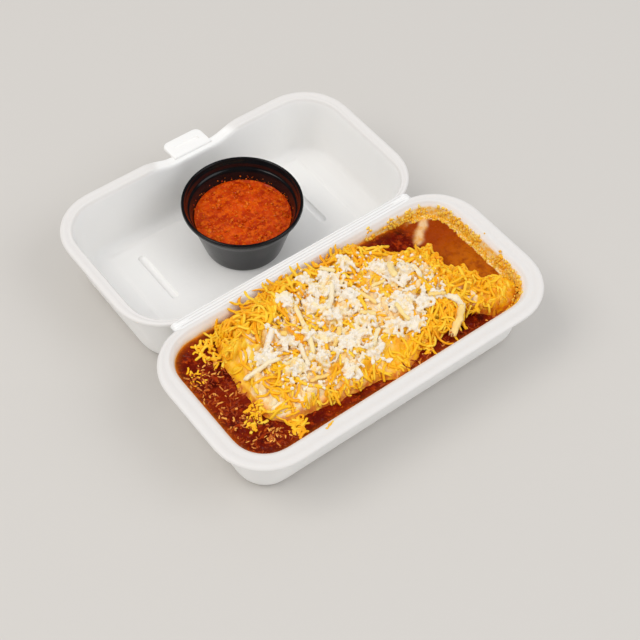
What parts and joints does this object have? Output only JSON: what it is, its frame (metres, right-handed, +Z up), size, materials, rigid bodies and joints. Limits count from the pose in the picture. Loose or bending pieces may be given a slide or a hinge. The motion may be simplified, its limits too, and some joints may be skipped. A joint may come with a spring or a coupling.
{
  "type": "enchiladas in an open foam takeaway box",
  "caption": "Enchiladas in chile sauce under shredded yellow and white cheese, in an open hinged foam box whose lid holds a small cup of red salsa.",
  "frame": {"origin": "bottom centre of the bounding box of the open box, latch tab included, on the surface it stands on", "axes": "+X along the hinge, +Y from the base with the food towards the open lid, +Z up"},
  "size_m": [0.187, 0.201, 0.0474],
  "materials": {
    "box_base": "white expanded foam, soft sheen",
    "box_lid": "white expanded foam, soft sheen",
    "sauce_cup": "black moulded plastic, satin",
    "salsa": "wet red salsa with small lumps",
    "chile_sauce": "thick oily red-brown sauce",
    "enchilada_front": "soft tortilla soaked in sauce",
    "enchilada_back": "soft tortilla soaked in sauce",
    "cheddar_cheese": "shredded and melted yellow cheese",
    "white_cheese": "crumbled and shredded white cheese"
  },
  "bodies": {
    "base": {"box_base": "box_base", "chile_sauce": "chile_sauce", "enchilada_front": "enchilada_front", "enchilada_back": "enchilada_back", "cheddar_cheese": "cheddar_cheese", "white_cheese": "white_cheese"},
    "lid": {"box_lid": "box_lid", "sauce_cup": "sauce_cup", "salsa": "salsa"}
  },
  "joints": [
    {"name": "lid_hinge", "type": "hinge", "parent": "base", "child": "lid", "pos_m": [0, -0.0075, 0.036], "axis": [1, 0, 0], "range_deg": [0, 155]}
  ]
}
